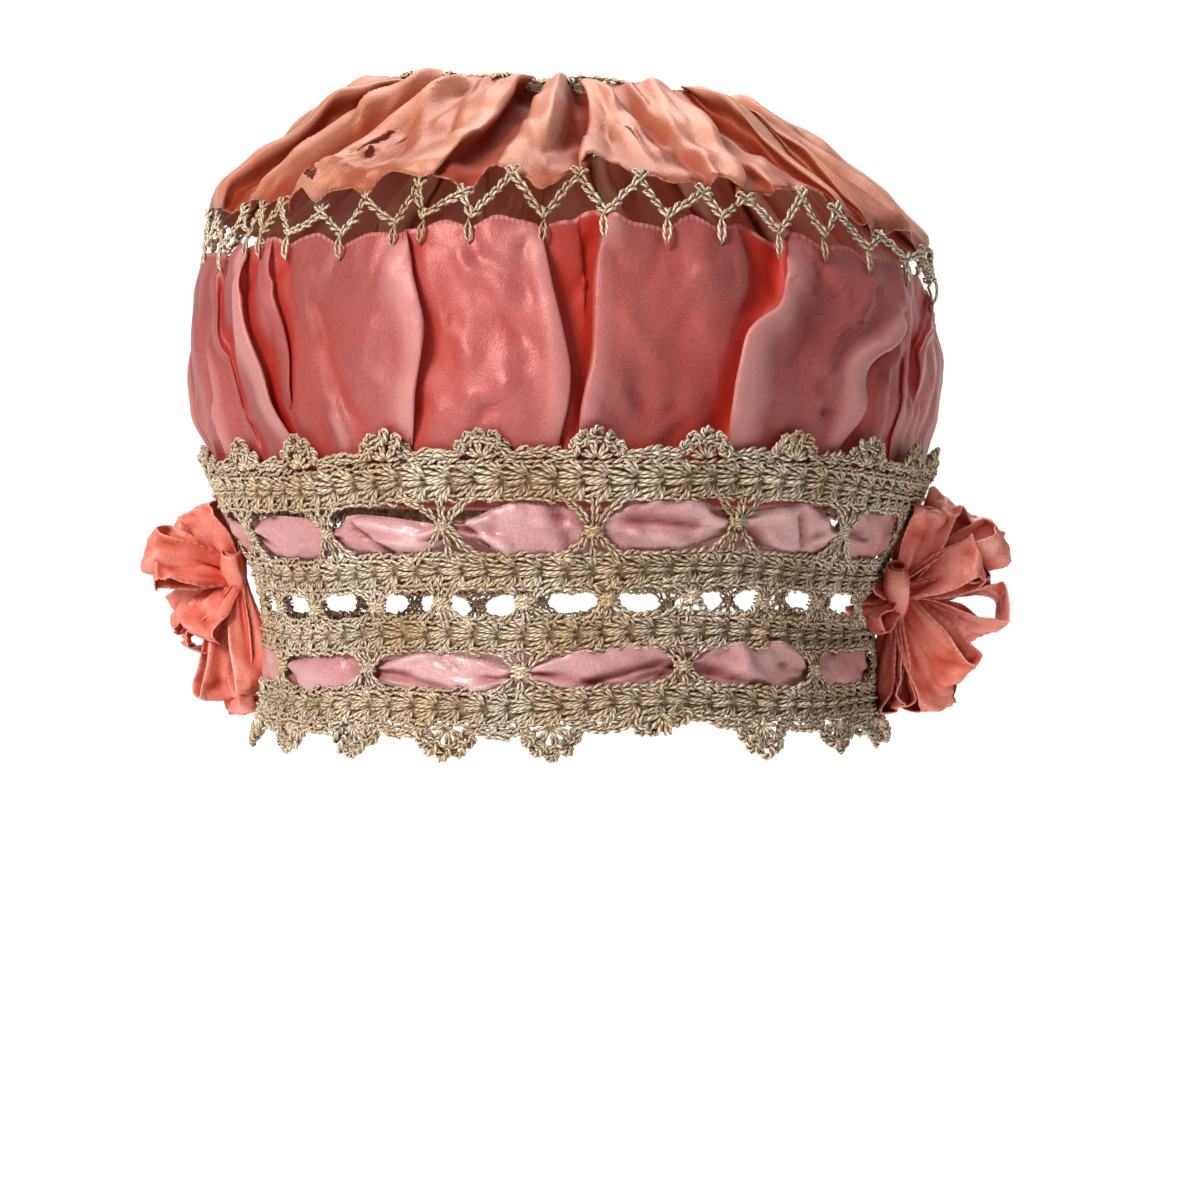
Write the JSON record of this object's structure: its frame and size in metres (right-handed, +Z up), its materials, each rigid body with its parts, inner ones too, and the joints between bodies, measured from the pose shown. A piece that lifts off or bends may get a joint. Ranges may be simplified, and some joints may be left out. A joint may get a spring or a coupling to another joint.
{
  "type": "boudoir cap",
  "caption": "Boudoir cap of gathered satin ribbon bands, joined by crochet, with a crochet lace headband, threaded ribbon and ribbon rosettes.",
  "frame": {"origin": "centre of the head opening, in the plane of the lace band's lower edge", "axes": "+Z up through the crown, -Y out of the front, +X to the right of somebody facing the front, over the rosettes"},
  "size_m": [0.2508, 0.22, 0.189],
  "materials": {
    "ecru_cotton": "matte mercerised crochet cotton",
    "pink_ribbon": "glossy satin ribbon",
    "coral_satin": "glossy silk satin",
    "peach_satin": "glossy silk satin, faded",
    "coral_ribbon": "soft satin ribbon"
  },
  "bodies": {
    "root": {"lace_band": "ecru_cotton", "upper_threaded_ribbon": "pink_ribbon", "lower_threaded_ribbon": "pink_ribbon", "lower_satin_band": "coral_satin", "zigzag_chain": "ecru_cotton", "upper_satin_band": "peach_satin", "crown_centre": "ecru_cotton", "right_rosette": "coral_ribbon", "left_rosette": "coral_ribbon"}
  },
  "joints": []
}
